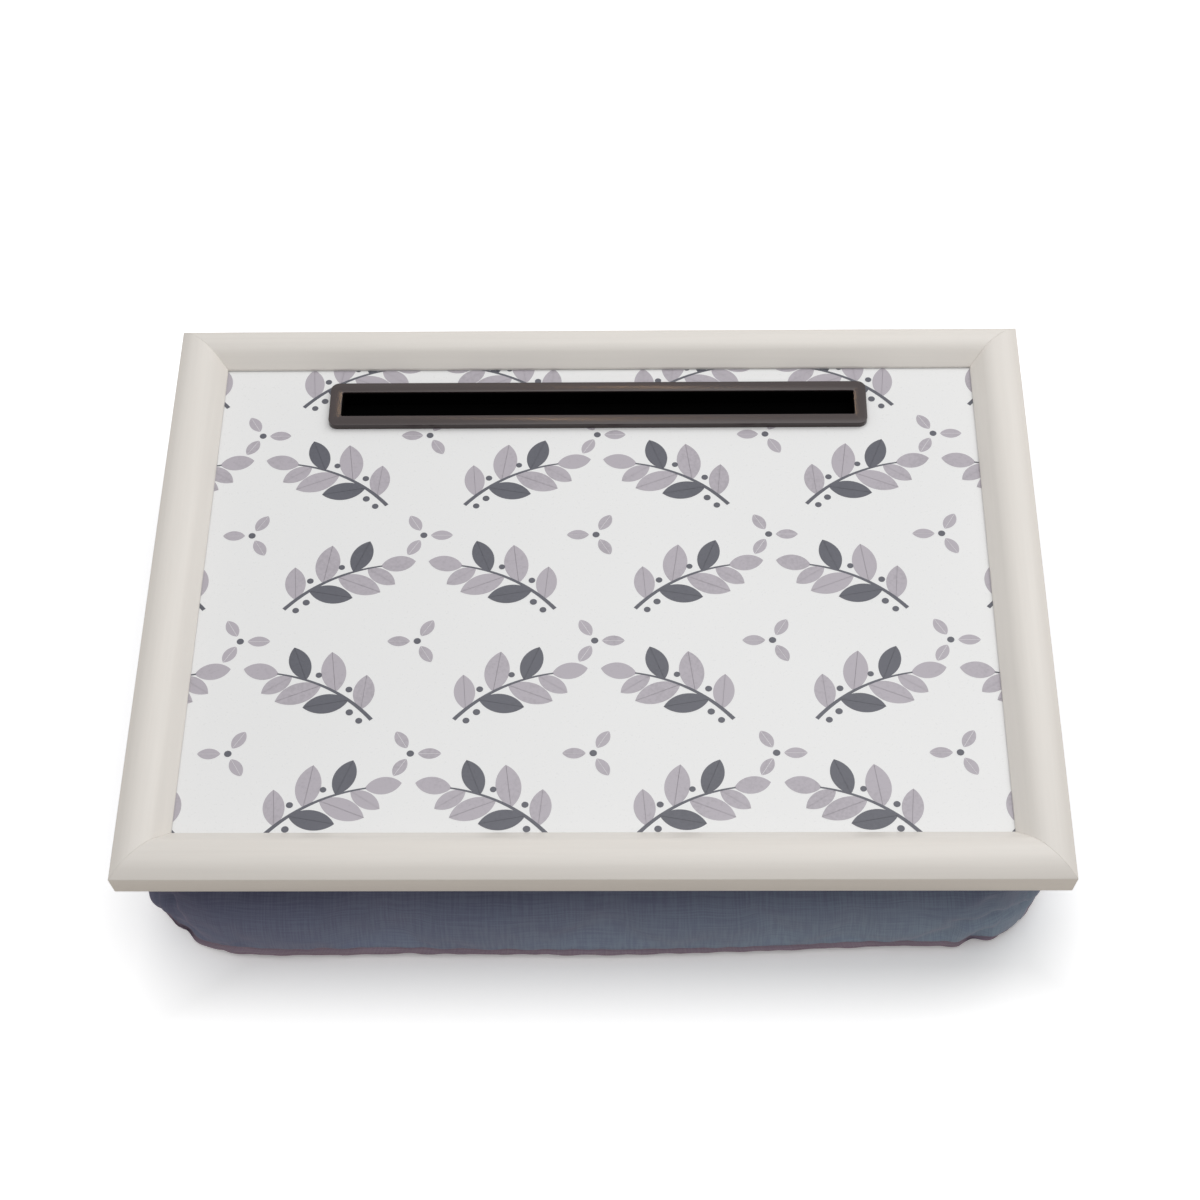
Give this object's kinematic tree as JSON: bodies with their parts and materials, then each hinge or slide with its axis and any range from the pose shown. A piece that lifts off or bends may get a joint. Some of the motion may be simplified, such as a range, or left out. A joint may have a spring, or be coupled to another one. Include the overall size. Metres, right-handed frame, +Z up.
{
  "type": "lap tray with cushion",
  "caption": "Lap tray: mitred moulded timber frame round a laminated board with a moulded tablet slot near the back edge, stapled to a bead-filled cloth cushion that rests on the lap.",
  "frame": {"origin": "on the floor under the middle of the tray, at the centre of the cushion's flat base", "axes": "+X along the tray's long side to the right, +Y towards the back edge with the slot, +Z up"},
  "size_m": [0.44, 0.34, 0.08],
  "materials": {
    "painted_timber": "satin off-white paint over timber, faint grain along the rail",
    "fibreboard": "raw fibreboard",
    "printed_laminate": "smooth hard white laminate with a printed pattern",
    "fastener_steel": "bright galvanised",
    "slot_plastic": "glossy dark brown-black moulding",
    "slot_lining": "matt black lining",
    "cushion_cloth": "plain woven slate-blue cloth",
    "bead_filling": "white expanded beads"
  },
  "bodies": {
    "root": {"rail_front": "painted_timber", "rail_back": "painted_timber", "rail_left": "painted_timber", "rail_right": "painted_timber", "corner_v_nails": "fastener_steel", "tray_board": "fibreboard", "printed_laminate": "printed_laminate", "board_points": "fastener_steel", "slot_insert": "slot_plastic", "slot_lining": "slot_lining", "cushion_top_panel": "cushion_cloth", "cushion_front_border": "cushion_cloth", "cushion_back_border": "cushion_cloth", "cushion_left_border": "cushion_cloth", "cushion_right_border": "cushion_cloth", "cushion_base_panel": "cushion_cloth", "bead_filling": "bead_filling", "cushion_staples": "fastener_steel"}
  },
  "joints": []
}
